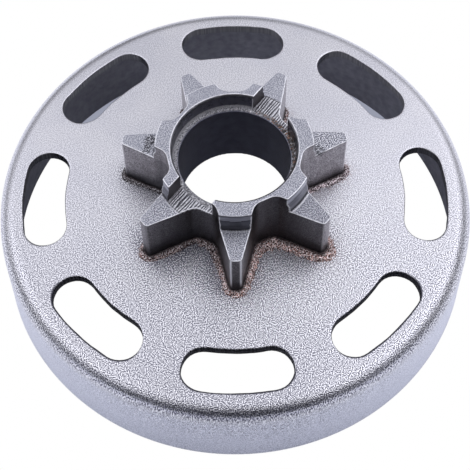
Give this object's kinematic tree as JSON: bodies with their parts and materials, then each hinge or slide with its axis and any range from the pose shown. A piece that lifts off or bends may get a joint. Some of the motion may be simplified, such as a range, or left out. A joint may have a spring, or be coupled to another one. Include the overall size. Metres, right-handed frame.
{
  "type": "chain saw clutch drum with spur sprocket",
  "caption": "Pressed steel clutch drum, open below, with kidney slots in its web and a toothed spur sprocket with a bearing bore brazed on top; drives a saw chain.",
  "frame": {"origin": "centre of the drum's open rim, in the plane that it rests on", "axes": "+Z along the rotation axis, from the open rim towards the sprocket; -Y towards one tooth and one slot"},
  "size_m": [0.075, 0.075, 0.0292],
  "materials": {
    "drum_steel": "tumbled, fine matt grain",
    "sprocket_steel": "dull grey with bright worn edges",
    "copper_braze": "rough, dull copper brown"
  },
  "bodies": {
    "root": {"clutch_drum": "drum_steel", "spur_sprocket": "sprocket_steel", "braze_fillet": "copper_braze"}
  },
  "joints": []
}
